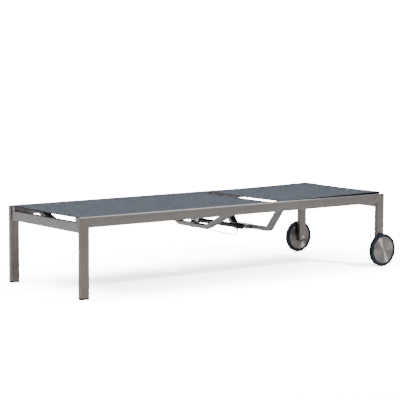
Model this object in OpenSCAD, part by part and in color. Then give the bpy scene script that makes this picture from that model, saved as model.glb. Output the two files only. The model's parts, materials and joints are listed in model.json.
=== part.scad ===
// Reclining sun lounger: a flat steel-tube bed on two legs and two wheels, with a seat and a backrest of
// stretched mesh. The backrest is hinged to the frame and held by a locking strut with a cable release.
// +X runs from the foot end to the head end, +Z is up, and the left side of the lounger is -Y.
// The origin is on the floor, under the middle of the lounger's whole length.

/* [Frame] */
// Length over the legs
frame_l = 2000; // [1900:10:2100]
// Width over the side rails
frame_w = 680; // [660:5:700]
// Height of the side rails' top face
frame_h = 400; // [390:1:410]
// Tall side of the frame tube
tube_h = 50; // [46:1:52]
// Narrow side of the frame tube
tube_w = 25; // [22:1:26]
// Wall of all the steel tubes
wall = 2; // [1.5:0.1:2.5]

/* [Seat and backrest] */
// Distance from the foot end to the backrest's hinge
hinge_from_foot = 1250; // [1240:1:1260]
// Distance from the foot end to the end of the seat's rails
seat_end_from_foot = 1222; // [1200:1:1224]
// Width of the sling rails
rail_w = 30; // [28:1:32]
// Height of the sling rails
rail_h = 24; // [22:1:25]
// Thickness of the mesh slings
sling_t = 1.3; // [1:0.1:1.5]
// Upward tilt of the lowered backrest, in degrees
rest_tilt = 0.9; // [0.6:0.1:1.2]

/* [Cross members] */
// Width of the bent cross members along the lounger
member_w = 40; // [36:1:42]
// Thickness of the bent cross members
member_t = 20; // [18:1:22]
// Distance from the foot end to the first seat spreader
front_spreader_from_foot = 150; // [120:5:200]
// Distance from the foot end to the second seat spreader
middle_spreader_from_foot = 600; // [500:5:700]
// Distance from the foot end to the member that carries the strut
strut_member_from_foot = 940; // [936:1:944]

/* [Wheels] */
// Diameter of the wheels
wheel_d = 180; // [170:2:190]
// Width of the tyres
tyre_w = 26; // [24:1:30]
// Radius of the axle bolts
axle_r = 6; // [5:0.5:6]

/* [Hidden] */
$fn = 48;

steel = "#8c8782";
dark_mesh = "#59626c";
black = "#1b1f26";
bright = "#b9b9b7";

wheel_r = wheel_d / 2;
foot_x = -(frame_l + wheel_r - tube_h / 2) / 2;
head_x = foot_x + frame_l;
axle_x = head_x - tube_h / 2;
inner_y = frame_w / 2 - tube_w;          // inner face of the side rails and legs
outer_y = frame_w / 2;
rail_bottom = frame_h - tube_h;

glide_t = 8;                             // the foot legs stand on glides this thick
cap_bottom = 68;                         // underside of the caps that close the head legs
cap_t = 4;
cap_stem = 8;                            // short enough to end below the axle bolts
plug_fit = 0.2;                          // gap round a plug's stem inside its tube

cross_top = frame_h - 26;                // the seat rails lie on the cross rails at this height
rail_top = cross_top + rail_h;
seat_rail_y = inner_y - 2 - rail_w;      // inner face of the seat rails
seat_end = foot_x + seat_end_from_foot;
seat_start = foot_x + 5;
plug_t = 3;

hinge_x = foot_x + hinge_from_foot;
hinge_z = cross_top + rail_h / 2;
pin_r = 5;
running_gap = 0.05;
back_start = hinge_x + 22;
back_end = head_x - 10;
back_rail_y = inner_y - 3 - rail_w;      // inner face of the back rails

keder_r = 4;                             // channel that holds a sling's edge rod
keder_in = 6;                            // its depth from the rail's outer face
keder_down = 8;                          // its depth from the rail's top
slot_half = 1.25;
chamber_w = rail_w - keder_in - keder_r - 3.5 - wall;   // inside width of a sling rail's main chamber
fold_down = keder_down + 0.5;            // how far a sling turns down over the rail

plate_t = 4;
plate_z = cross_top - plate_t;
weld_gap = 0.1;
half_t = member_t / 2;

spreader_bend = [150, 332];              // (Y, Z) of a centre line's bend, and below of its arm's end
spreader_end = [264, plate_z];
spreader_plate_y = [230, seat_rail_y + rail_w - 2];
strut_bend = [118, 268];
strut_end = [inner_y, 361];
back_bend = [150, 230];
back_top = [265, plate_z];
strut_member_x = foot_x + strut_member_from_foot;
back_member_x = foot_x + 1328;

strut_a = [strut_member_x, strut_bend[1] + 29];      // (X, Z) of the strut's pivot on the frame
rod_b_flat = [foot_x + 1294, 228];                   // (X, Z) of its pivot on the backrest, before the tilt
rod_b = turn_about_hinge(rod_b_flat, rest_tilt);
strut_l = norm(rod_b - strut_a);
strut_angle = atan2(rod_b[1] - strut_a[1], rod_b[0] - strut_a[0]);
strut_pin_r = 6;
rod_pin_r = 4;
tube_r = 12.5;
tube_bore_r = 10.8;
head_r = 16;
collar_r = 15;                                       // collar at the tube's closed end
collar_l = 10;
tube_s = 25;                                         // where the strut's tube starts along its axis
head_s = 282;                                        // where its release head starts
head_end = strut_l - 26;
boss_s = 300;
rod_start = 95;
bolt_dx = 14;                                        // the bracket's bolts, each side of the member's middle
bolt_r = 4;
bracket_plate = 5;
eye_half = 13;                                       // half width of the strut's eye
ear_t = 4;
rod_eye_r = 9.5;
rod_eye_half = 8;
member_face = back_member_x - member_w / 2;          // the back member's face towards the foot end

bush_r = 7;                                          // hinge bushes
block_y = [back_rail_y + 1, inner_y - 4];            // hinge blocks, from side to side

lever_x = foot_x + 1003;
lever_y = (inner_y + outer_y) / 2;
lever_z = rail_bottom - 18;
lever_droop = 6;

tyre_in_r = wheel_r - 16;
wheel_y = outer_y + 3;                               // inner side of the wheels
core_z = [5, tyre_w - 5];                            // the wheel core's sides, from the wheel's inner side
hub_r = 16;
wheel_bush_r = 9;
nut_z = 14;

cable_r = 2.5;
cable_sides = 8;
clip_reach = 7;
clip_half = 3.2;
// The release cable's route, X from the foot end: from the lever, down the strut member, then a free loop
cable_route = [
  [981, 327.5, 316], [975, 327.5, 316], [969, 324, 318], [965, 316, 323], [964, 306, 328], [963, 290, 331],
  [963, 262, 325],
  [963, 220, 308], [963, 180, 289], [963, 150, 276], [963, 125, 267], [963, 100, 263], [963, 60, 260],
  [963, 32, 257], [964, 14, 254], [970, 4, 251], [983, 0, 248], [1003, 0, 243], [1030, 0, 236.5],
  [1060, 0, 229], [1090, 0, 221.5], [1120, 0, 214], [1150, 0, 207], [1176, 0, 201], [1198, 0, 197],
  [1213, 0, 196], [1224, 0, 199.5], [1230, 0, 206.5], [1231, 0, 216]
];

function turn_about_hinge(p, a) = [
  hinge_x + (p[0] - hinge_x) * cos(a) - (p[1] - hinge_z) * sin(a),
  hinge_z + (p[0] - hinge_x) * sin(a) + (p[1] - hinge_z) * cos(a)
];
function unit(v) = v / norm(v);
function normal(u) = [-u[1], u[0]];
// Point on a bar's edge, s off its centre line, where the mitre between directions u and v meets it
function mitre(p, u, v, s) = p + s * (normal(u) + normal(v)) / (1 + normal(u) * normal(v));
// Point on a bar's edge, s off the centre line through p along u, at height z or at side distance y
function edge_at_z(p, u, z, s) = let (q = p + s * normal(u)) q + u * (z - q[1]) / u[1];
function edge_at_y(p, u, y, s) = let (q = p + s * normal(u)) q + u * (y - q[0]) / u[0];

// ---------------------------------------------------------------- helpers
module both_sides() {
  children();
  mirror([0, 1, 0]) children();
}

// Stretches a (Y, Z) outline along the lounger
module along_x(x0, x1) {
  translate([x0, 0, 0]) rotate([90, 0, 90]) linear_extrude(x1 - x0) children();
}

// Stretches an (X, Z) outline across the lounger
module along_y(y0, y1) {
  translate([0, y1, 0]) rotate([90, 0, 0]) linear_extrude(y1 - y0) children();
}

module y_rod(x, z, y0, y1, r) {
  translate([x, y1, z]) rotate([90, 0, 0]) cylinder(h = y1 - y0, r = r);
}

module box(x, y, z) {
  translate([x[0], y[0], z[0]]) cube([x[1] - x[0], y[1] - y[0], z[1] - z[0]]);
}

// Draws a piece of the backrest at its small resting tilt
module resting() {
  translate([hinge_x, 0, hinge_z]) rotate([0, -rest_tilt, 0]) translate([-hinge_x, 0, -hinge_z]) children();
}

// Draws a piece of the strut with its axis along local +X and its frame pivot at the local origin
module on_strut() {
  translate([strut_a[0], 0, strut_a[1]]) rotate([0, -strut_angle, 0]) children();
}

// ---------------------------------------------------------------- frame tubes
module side_rail() {
  difference() {
    along_y(inner_y, outer_y) polygon([
      [foot_x, frame_h], [head_x, frame_h], [head_x - tube_h, rail_bottom], [foot_x + tube_h, rail_bottom]
    ]);
    box([foot_x - 1, head_x + 1], [inner_y + wall, outer_y - wall], [rail_bottom + wall, frame_h - wall]);
  }
}

// A leg under the rail's mitred end: end_x is the lounger's end, inward is +1 or -1 along X
module leg(end_x, inward, bottom) {
  inside = [end_x + inward * wall, end_x + inward * (tube_h - wall)];
  difference() {
    along_y(inner_y, outer_y) polygon([
      [end_x, frame_h], [end_x + inward * tube_h, rail_bottom], [end_x + inward * tube_h, bottom],
      [end_x, bottom]
    ]);
    box([min(inside), max(inside)], [inner_y + wall, outer_y - wall], [bottom - 1, frame_h + 1]);
  }
}

module head_leg() {
  difference() {
    leg(head_x, -1, cap_bottom + cap_t);
    y_rod(axle_x, wheel_r, inner_y - 1, outer_y + 1, axle_r + 0.1);
  }
}

module cross_rail(x) {
  difference() {
    box([x, x + tube_w], [-inner_y, inner_y], [cross_top - tube_h, cross_top]);
    box([x + wall, x + tube_w - wall], [-outer_y, outer_y], [cross_top - tube_h + wall, cross_top - wall]);
  }
}

module left_side_rail() { color(steel) mirror([0, 1, 0]) side_rail(); }
module right_side_rail() { color(steel) side_rail(); }
module left_foot_leg() { color(steel) mirror([0, 1, 0]) leg(foot_x, 1, glide_t); }
module right_foot_leg() { color(steel) leg(foot_x, 1, glide_t); }
module left_head_leg() { color(steel) mirror([0, 1, 0]) head_leg(); }
module right_head_leg() { color(steel) head_leg(); }
module foot_cross_rail() { color(steel) cross_rail(foot_x + 5); }
module head_cross_rail() { color(steel) cross_rail(head_x - 5 - tube_w); }

// A plug closes a leg: a plate as large as the tube, and a stem that fits inside it
module leg_plug(x0, z0, t, stem_h) {
  box([x0, x0 + tube_h], [inner_y, outer_y], [z0, z0 + t]);
  gap = wall + plug_fit;
  box([x0 + gap, x0 + tube_h - gap], [inner_y + gap, outer_y - gap], [z0, z0 + t + stem_h]);
}

module foot_glides() { color(black) both_sides() leg_plug(foot_x, 0, glide_t, 22); }
module head_leg_caps() { color(black) both_sides() leg_plug(head_x - tube_h, cap_bottom, cap_t, cap_stem); }

// ---------------------------------------------------------------- sling rails
// Extruded rail in (Y, Z), open in the side slot that grips a sling's edge rod
module rail_outline(y0) {
  translate([y0, cross_top]) difference() {
    square([rail_w, rail_h]);
    translate([wall, wall]) square([chamber_w, rail_h - 2 * wall]);
    translate([chamber_w + 2 * wall, wall]) square([rail_w - chamber_w - 3 * wall, rail_h / 4]);
    translate([rail_w - keder_in, rail_h - keder_down]) circle(r = keder_r);
    translate([rail_w - keder_in, rail_h - keder_down - slot_half]) square([keder_in + 1, 2 * slot_half]);
  }
}

// Plate over a rail's end, with a stem in the rail's chamber; into is the stem's direction along X
module rail_plug(x, y0, into) {
  stem = [x, x + into * 20];
  plate = [x, x - into * plug_t];
  box([min(plate), max(plate)], [y0, y0 + rail_w], [cross_top, rail_top]);
  box([min(stem), max(stem)], [y0 + wall + plug_fit, y0 + wall + chamber_w - plug_fit],
      [cross_top + wall + plug_fit, rail_top - wall - plug_fit]);
}

module seat_rail() { along_x(seat_start + plug_t, seat_end - plug_t) rail_outline(seat_rail_y); }
module back_rail() { resting() along_x(back_start, back_end - plug_t) rail_outline(back_rail_y); }
module left_seat_rail() { color(steel) mirror([0, 1, 0]) seat_rail(); }
module right_seat_rail() { color(steel) seat_rail(); }
module left_back_rail() { color(steel) mirror([0, 1, 0]) back_rail(); }
module right_back_rail() { color(steel) back_rail(); }

module seat_rail_plugs() {
  color(steel) both_sides() {
    rail_plug(seat_start + plug_t, seat_rail_y, 1);
    rail_plug(seat_end - plug_t, seat_rail_y, -1);
  }
}

module back_rail_plugs() {
  color(steel) resting() both_sides() rail_plug(back_end - plug_t, back_rail_y, -1);
}

// Welded discs that hold the seat rails to the side rails
module seat_rail_spacers() {
  color(steel) both_sides() for (x = [80, 420, 780, 1160])
    y_rod(foot_x + x, cross_top + 7, seat_rail_y + rail_w, inner_y, 6);
}

// ---------------------------------------------------------------- slings
// Mesh sheet over two rails, turned down over their outer faces as far as the slot
module sling(x0, x1, y_out) {
  half = y_out + sling_t;
  top = rail_top + sling_t;
  along_x(x0, x1) polygon([
    [-half, rail_top - fold_down], [-half, top], [half, top], [half, rail_top - fold_down],
    [half - sling_t, rail_top - fold_down], [half - sling_t, rail_top],
    [-half + sling_t, rail_top], [-half + sling_t, rail_top - fold_down]
  ]);
}

module keder_rod(x0, x1, y0) {
  translate([x0, y0 + rail_w - keder_in, rail_top - keder_down]) rotate([0, 90, 0])
    cylinder(h = x1 - x0, r = keder_r - 0.6);
}

module seat_sling() { color(dark_mesh) sling(seat_start, seat_end, seat_rail_y + rail_w); }
module back_sling() { color(dark_mesh) resting() sling(back_start, back_end, back_rail_y + rail_w); }
module seat_keder_rods() { color(black) both_sides() keder_rod(seat_start + 5, seat_end - 5, seat_rail_y); }
module back_keder_rods() {
  color(black) resting() both_sides() keder_rod(back_start + 3, back_end - 5, back_rail_y);
}

// ---------------------------------------------------------------- bent cross members
// Level part of a member between its bends, mitred at both ends; bend is (Y, Z), and arm is the
// right arm's direction
module level_bar(x, bend, arm) {
  low = mitre(bend, [1, 0], arm, -half_t);
  high = mitre(bend, [1, 0], arm, half_t);
  difference() {
    along_x(x - member_w / 2, x + member_w / 2) polygon([
      [-low[0] + weld_gap, low[1]], [low[0] - weld_gap, low[1]], [high[0] - weld_gap, high[1]],
      [-high[0] + weld_gap, high[1]]
    ]);
    box([x - member_w / 2 + wall, x + member_w / 2 - wall], [-bend[0] - member_t, bend[0] + member_t],
        [bend[1] - half_t + wall, bend[1] + half_t - wall]);
  }
}

// Right arm from the bend to its two end points, low and high
module sloping_bar(x, bend, arm, end_low, end_high) {
  low = mitre(bend, [1, 0], arm, -half_t);
  high = mitre(bend, [1, 0], arm, half_t);
  side = (half_t - wall) * normal(arm);
  reach = norm(end_low - bend) + 3 * member_t;
  difference() {
    along_x(x - member_w / 2, x + member_w / 2) polygon([low, end_low, end_high, high]);
    along_x(x - member_w / 2 + wall, x + member_w / 2 - wall) polygon([
      bend - member_t * arm - side, bend + reach * arm - side,
      bend + reach * arm + side, bend - member_t * arm + side
    ]);
  }
}

// Member with two arms that stand under flat plates
module plated_member(x, bend, top, plate_y) {
  arm = unit(top - bend);
  level_bar(x, bend, arm);
  both_sides() {
    sloping_bar(x, bend, arm, edge_at_z(bend, arm, plate_z, -half_t), edge_at_z(bend, arm, plate_z, half_t));
    box([x - member_w / 2 - 8, x + member_w / 2 + 8], plate_y, [plate_z, cross_top]);
  }
}

module spreader(from_foot) {
  plated_member(foot_x + from_foot, spreader_bend, spreader_end, spreader_plate_y);
}

module front_spreader() { color(steel) spreader(front_spreader_from_foot); }
module middle_spreader() { color(steel) spreader(middle_spreader_from_foot); }

module back_member() {
  color(steel) resting() plated_member(back_member_x, back_bend, back_top, [247, back_rail_y + rail_w - 2]);
}

module strut_member() {
  arm = unit(strut_end - strut_bend);
  color(steel) difference() {
    union() {
      level_bar(strut_member_x, strut_bend, arm);
      both_sides() sloping_bar(strut_member_x, strut_bend, arm,
        edge_at_y(strut_bend, arm, inner_y, -half_t), edge_at_y(strut_bend, arm, inner_y, half_t));
    }
    for (dx = [-bolt_dx, bolt_dx]) translate([strut_member_x + dx, 0, strut_bend[1] - half_t - 1])
      cylinder(h = member_t + 2, r = bolt_r + 0.2);
  }
}

// ---------------------------------------------------------------- strut mountings
module strut_bracket() {
  base = strut_bend[1] + half_t;
  color(steel) difference() {
    union() {
      box([strut_member_x - member_w / 2, strut_member_x + member_w / 2], [-eye_half - 7, eye_half + 7],
          [base, base + bracket_plate]);
      both_sides() {
        y_rod(strut_a[0], strut_a[1], eye_half + 1, eye_half + 1 + ear_t, 12);
        box([strut_a[0] - 12, strut_a[0] + 12], [eye_half + 1, eye_half + 1 + ear_t], [base, strut_a[1]]);
      }
    }
    y_rod(strut_a[0], strut_a[1], -outer_y, outer_y, strut_pin_r + running_gap);
    for (dx = [-bolt_dx, bolt_dx]) translate([strut_member_x + dx, 0, base - 1])
      cylinder(h = bracket_plate + 2, r = bolt_r + running_gap);
  }
}

// Shaft across two ears with a flat head at each end
module headed_pin(x, z, y_face, r) {
  y_rod(x, z, -y_face - 0.5, y_face + 0.5, r);
  both_sides() y_rod(x, z, y_face + 0.3, y_face + 3.3, r + 3);
}

module strut_pin() { color(bright) headed_pin(strut_a[0], strut_a[1], eye_half + 1 + ear_t, strut_pin_r); }

module bracket_bolts() {
  under = strut_bend[1] - half_t;
  color(bright) for (dx = [-bolt_dx, bolt_dx]) translate([strut_member_x + dx, 0, 0]) {
    translate([0, 0, under]) cylinder(h = member_t + bracket_plate, r = bolt_r);
    translate([0, 0, under - 6]) cylinder(h = 6, r1 = 5.5, r2 = 7);
  }
}

module rod_bracket() {
  ear = [rod_eye_half + 0.5, rod_eye_half + 0.5 + ear_t];
  color(steel) resting() difference() {
    union() {
      box([member_face - plate_t, member_face], [-20, 20], [back_bend[1] - half_t, back_bend[1] + half_t]);
      both_sides() {
        y_rod(rod_b_flat[0], rod_b_flat[1], ear[0], ear[1], 8);
        box([rod_b_flat[0], member_face], ear, [rod_b_flat[1] - 8, rod_b_flat[1] + 8]);
      }
    }
    y_rod(rod_b_flat[0], rod_b_flat[1], -outer_y, outer_y, rod_pin_r + running_gap);
  }
}

module rod_pin() {
  color(bright) resting() headed_pin(rod_b_flat[0], rod_b_flat[1], rod_eye_half + 0.5 + ear_t, rod_pin_r);
}

// ---------------------------------------------------------------- locking strut
module strut_eye() {
  color(bright) on_strut() difference() {
    union() {
      y_rod(0, 0, -eye_half, eye_half, 10);
      box([0, tube_s], [-8, 8], [-7, 7]);
      translate([tube_s - 1, 0, 0]) rotate([0, 90, 0]) cylinder(h = 9, r = tube_bore_r - 0.1);
    }
    y_rod(0, 0, -outer_y, outer_y, strut_pin_r + running_gap);
  }
}

module strut_tube() {
  color(black) on_strut() translate([tube_s, 0, 0]) rotate([0, 90, 0]) difference() {
    union() {
      cylinder(h = head_s - tube_s, r = tube_r);
      cylinder(h = collar_l, r = collar_r);
    }
    translate([0, 0, -1]) cylinder(h = head_s - tube_s + 2, r = tube_bore_r);
  }
}

// Thicker housing at the tube's mouth: it locks the rod, and the cable enters its boss from below
module release_head() {
  color(black) on_strut() difference() {
    union() {
      translate([head_s, 0, 0]) rotate([0, 90, 0]) cylinder(h = head_end - head_s, r = head_r);
      translate([boss_s, 0, -head_r - 8]) cylinder(h = head_r / 2 + 8, r = 5.5);
    }
    translate([head_s - 1, 0, 0]) rotate([0, 90, 0]) cylinder(h = head_end - head_s + 2, r = tube_bore_r);
  }
}

module strut_rod() {
  color(bright) on_strut() translate([rod_start, 0, 0]) rotate([0, 90, 0])
    cylinder(h = strut_l - 22 - rod_start, r = 5);
}

module rod_eye() {
  color(bright) on_strut() difference() {
    union() {
      y_rod(strut_l, 0, -rod_eye_half, rod_eye_half, rod_eye_r);
      translate([strut_l - 22, 0, 0]) rotate([0, 90, 0]) cylinder(h = 16, r = 7);
    }
    y_rod(strut_l, 0, -outer_y, outer_y, rod_pin_r + running_gap);
  }
}

// ---------------------------------------------------------------- hinge
module hinge_blocks() {
  color(black) resting() both_sides() difference() {
    union() {
      y_rod(hinge_x, hinge_z, block_y[0], block_y[1], rail_h / 2);
      box([hinge_x, back_start], block_y, [cross_top, rail_top]);
      box([back_start - 1, back_start + 25],
          [back_rail_y + wall + plug_fit, back_rail_y + wall + chamber_w - plug_fit],
          [cross_top + wall + plug_fit, rail_top - wall - plug_fit]);
    }
    y_rod(hinge_x, hinge_z, 0, outer_y, bush_r);
  }
}

module hinge_bushes() {
  color(black) both_sides() difference() {
    union() {
      y_rod(hinge_x, hinge_z, block_y[0], block_y[1], bush_r - 0.05);
      y_rod(hinge_x, hinge_z, block_y[1], inner_y - 2.3, bush_r + 2);
    }
    y_rod(hinge_x, hinge_z, 0, outer_y, pin_r + running_gap);
  }
}

module hinge_pins() {
  color(bright) both_sides() {
    y_rod(hinge_x, hinge_z, block_y[0] - 1, inner_y, pin_r);
    y_rod(hinge_x, hinge_z, inner_y - 2, inner_y, pin_r + 4);
    y_rod(hinge_x, hinge_z, block_y[0] - 4, block_y[0] - 0.5, pin_r + 3);
  }
}

module head_bar() {
  bar_x = [back_end - 30, back_end - 5];
  bar_z = [cross_top + 2, cross_top + 20];
  color(steel) resting() difference() {
    box(bar_x, [-back_rail_y, back_rail_y], bar_z);
    box([bar_x[0] + wall, bar_x[1] - wall], [-outer_y, outer_y], [bar_z[0] + wall, bar_z[1] - wall]);
  }
}

// Rubber stops on the head cross rail, under the back rails
module rest_buffers() {
  stop_x = head_x - 5 - tube_w / 2;
  stop_y = back_rail_y + rail_w / 2;
  lift = (stop_x - hinge_x) * sin(rest_tilt) - 0.8;
  color(black) both_sides() translate([stop_x, stop_y, cross_top]) cylinder(h = lift, r1 = 10, r2 = 8);
}

// ---------------------------------------------------------------- release lever and cable
module lever_bracket() {
  cheek = 3;
  span = 11.5;
  color(steel) difference() {
    union() {
      box([lever_x - 22, lever_x + 16], [lever_y - span / 2 - cheek, lever_y + span / 2 + cheek],
          [rail_bottom - 3, rail_bottom]);
      for (y = [lever_y - span / 2 - cheek, lever_y + span / 2]) {
        y_rod(lever_x, lever_z, y, y + cheek, 9);
        box([lever_x - 9, lever_x + 9], [y, y + cheek], [lever_z, rail_bottom]);
      }
      box([lever_x - 22, lever_x - 18], [lever_y - 6, lever_y + 6], [lever_z - 22, rail_bottom]);
    }
    y_rod(lever_x, lever_z, 0, outer_y + 1, 4 + running_gap);
  }
}

module lever_pin() {
  color(bright) {
    y_rod(lever_x, lever_z, lever_y - 9, lever_y + 9, 4);
    y_rod(lever_x, lever_z, lever_y - 11.5, lever_y - 8.8, 6);
    y_rod(lever_x, lever_z, lever_y + 8.8, lever_y + 11.5, 6);
  }
}

// Draws a piece of the lever with its arm along +X from the pivot, drooping at rest
module on_lever() {
  translate([lever_x, lever_y, lever_z]) rotate([0, lever_droop, 0]) children();
}

module release_lever() {
  color(steel) on_lever() difference() {
    union() {
      y_rod(0, 0, -5, 5, 8);
      box([0, 125], [-3, 3], [-5, 5]);
      box([-4, 4], [-3, 3], [-20, 0]);
    }
    y_rod(0, 0, -6, 6, 4 + running_gap);
  }
}

module lever_grip() {
  color(black) on_lever() difference() {
    translate([45, 0, 0]) rotate([0, 90, 0]) cylinder(h = 88, r = 9);
    box([44, 125.2], [-3.2, 3.2], [-5.2, 5.2]);
  }
}

function at_foot(p) = [p[0] + foot_x, p[1], p[2]];
function cable_tangent(k) = let (n = len(cable_route))
  unit(cable_route[min(k + 1, n - 1)] - cable_route[max(k - 1, 0)]);
function cable_ring(k) = let (
    t = cable_tangent(k),
    side = unit(cross(abs(t[2]) > 0.9 ? [0, 1, 0] : [0, 0, 1], t)),
    rise = cross(t, side)
  ) [for (i = [0:cable_sides - 1]) at_foot(cable_route[k])
      + cable_r * (cos(360 * i / cable_sides) * side + sin(360 * i / cable_sides) * rise)];

module release_cable() {
  n = len(cable_route);
  points = [for (k = [0:n - 1]) each cable_ring(k)];
  walls = [for (k = [0:n - 2], i = [0:cable_sides - 1]) let (j = (i + 1) % cable_sides)
    [k * cable_sides + i, k * cable_sides + j, (k + 1) * cable_sides + j, (k + 1) * cable_sides + i]];
  first = [for (i = [0:cable_sides - 1]) cable_sides - 1 - i];
  last = [for (i = [0:cable_sides - 1]) (n - 1) * cable_sides + i];
  color(black) polyhedron(points = points, faces = concat([first], [last], walls));
}

// Saddle clips that hold the cable to the strut member's arm and level bar, turned to the cable's slope
module cable_clips() {
  face = strut_member_x + member_w / 2;
  color(black) for (clip = [[200, 298.5, 25.4], [80, 261.5, 4.3]])
    translate([face, clip[0], clip[1]]) rotate([clip[2], 0, 0]) difference() {
      translate([0, -4, -6]) cube([clip_reach, 8, 12]);
      translate([-1, -5, -clip_half]) cube([clip_reach - 0.5, 10, 2 * clip_half]);
    }
}

// ---------------------------------------------------------------- wheels
module tyre() {
  shoulder = 5;
  y_wheel() rotate_extrude($fn = 96) {
    translate([tyre_in_r, 0]) square([wheel_r - shoulder - tyre_in_r, tyre_w]);
    translate([tyre_in_r, shoulder]) square([wheel_r - tyre_in_r, tyre_w - 2 * shoulder]);
    for (z = [shoulder, tyre_w - shoulder]) translate([wheel_r - shoulder, z]) circle(r = shoulder);
  }
}

// Draws a turned piece with its axis on the right wheel's axle and local z = 0 at the wheel's inner side
module y_wheel() {
  translate([axle_x, wheel_y, wheel_r]) rotate([-90, 0, 0]) children();
}

module wheel_core() {
  y_wheel() difference() {
    union() {
      translate([0, 0, core_z[0]]) cylinder(h = core_z[1] - core_z[0], r = tyre_in_r - 0.05, $fn = 96);
      translate([0, 0, 0.8]) cylinder(h = core_z[0], r = hub_r);
    }
    translate([0, 0, -1]) cylinder(h = tyre_w, r = wheel_bush_r + 0.05);
    translate([0, 0, nut_z - 1]) cylinder(h = tyre_w, r = 13);
    for (z = [core_z[0] - 1, core_z[1] - 5]) translate([0, 0, z]) difference() {
      cylinder(h = 6, r = tyre_in_r - 8, $fn = 96);
      translate([0, 0, -1]) cylinder(h = 8, r = hub_r + 4);
    }
  }
}

module wheel_bush() {
  y_wheel() difference() {
    translate([0, 0, 0.4]) cylinder(h = nut_z - 1.6, r = wheel_bush_r);
    translate([0, 0, -1]) cylinder(h = tyre_w, r = axle_r + running_gap);
  }
}

// Thin dished plate; hole_r opens its middle
module disc(z_rim, z_mid, hole_r) {
  t = 1.4;
  rim = tyre_in_r - 0.4;
  y_wheel() rotate_extrude($fn = 96) polygon([
    [hole_r, z_mid], [rim - 4, z_rim], [rim, z_rim],
    [rim, z_rim + t], [rim - 4, z_rim + t], [hole_r, z_mid + t]
  ]);
}

module outer_disc() { disc(core_z[1] + 0.1, core_z[1] + 2.6, 0); }
module inner_disc() { disc(core_z[0] - 1.5, core_z[0] - 3.4, hub_r + 0.3); }

module left_tyre() { color(black) mirror([0, 1, 0]) tyre(); }
module right_tyre() { color(black) tyre(); }
module left_wheel_core() { color(black) mirror([0, 1, 0]) wheel_core(); }
module right_wheel_core() { color(black) wheel_core(); }
module left_outer_disc() { color(bright) mirror([0, 1, 0]) outer_disc(); }
module right_outer_disc() { color(bright) outer_disc(); }
module left_inner_disc() { color(bright) mirror([0, 1, 0]) inner_disc(); }
module right_inner_disc() { color(bright) inner_disc(); }
module wheel_bushes_left() { color(black) mirror([0, 1, 0]) wheel_bush(); }
module wheel_bushes_right() { color(black) wheel_bush(); }

module axle_bolts() {
  color(bright) both_sides() {
    y_rod(axle_x, wheel_r, inner_y, wheel_y + nut_z + 7, axle_r);
    translate([axle_x, inner_y, wheel_r]) rotate([90, 0, 0]) cylinder(h = 6, r1 = 10, r2 = 6);
  }
}

module axle_washers() {
  color(bright) both_sides() difference() {
    y_rod(axle_x, wheel_r, outer_y, outer_y + 3, 12);
    y_rod(axle_x, wheel_r, outer_y - 1, outer_y + 4, axle_r + running_gap);
  }
}

module axle_nuts() {
  color(bright) both_sides() y_wheel() translate([0, 0, nut_z]) difference() {
    cylinder(h = 6, r = 11, $fn = 6);
    translate([0, 0, -1]) cylinder(h = 8, r = axle_r + running_gap);
  }
}

left_side_rail();
right_side_rail();
left_foot_leg();
right_foot_leg();
left_head_leg();
right_head_leg();
foot_cross_rail();
head_cross_rail();
left_seat_rail();
right_seat_rail();
seat_rail_spacers();
seat_rail_plugs();
seat_keder_rods();
seat_sling();
front_spreader();
middle_spreader();
strut_member();
strut_bracket();
bracket_bolts();
strut_pin();
foot_glides();
head_leg_caps();
rest_buffers();
hinge_pins();
axle_bolts();
axle_washers();
axle_nuts();
lever_bracket();
lever_pin();
release_cable();
cable_clips();
release_lever();
lever_grip();
left_back_rail();
right_back_rail();
back_rail_plugs();
hinge_blocks();
hinge_bushes();
head_bar();
back_member();
back_keder_rods();
back_sling();
rod_bracket();
rod_pin();
strut_eye();
strut_tube();
release_head();
strut_rod();
rod_eye();
left_tyre();
left_wheel_core();
left_outer_disc();
left_inner_disc();
right_tyre();
right_wheel_core();
right_outer_disc();
right_inner_disc();
wheel_bushes_left();
wheel_bushes_right();
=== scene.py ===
# %% [markdown]
# # A reclining sun lounger, finished in Blender
#
# The lounger's frame, hinges, strut and wheels come from a CAD model, already in place and to scale. This
# lesson gives them what CAD leaves out: rounded tube edges, brushed steel, a stretched mesh seat, moulded
# plastic, spun wheel discs and rubber tyres. Everything is in metres, +X runs from the foot end to the head
# end, and -Y is the lounger's left side.

# %% Load the fixed frame
import json
import math

import bmesh
import bpy
from mathutils import Matrix, Vector

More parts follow.
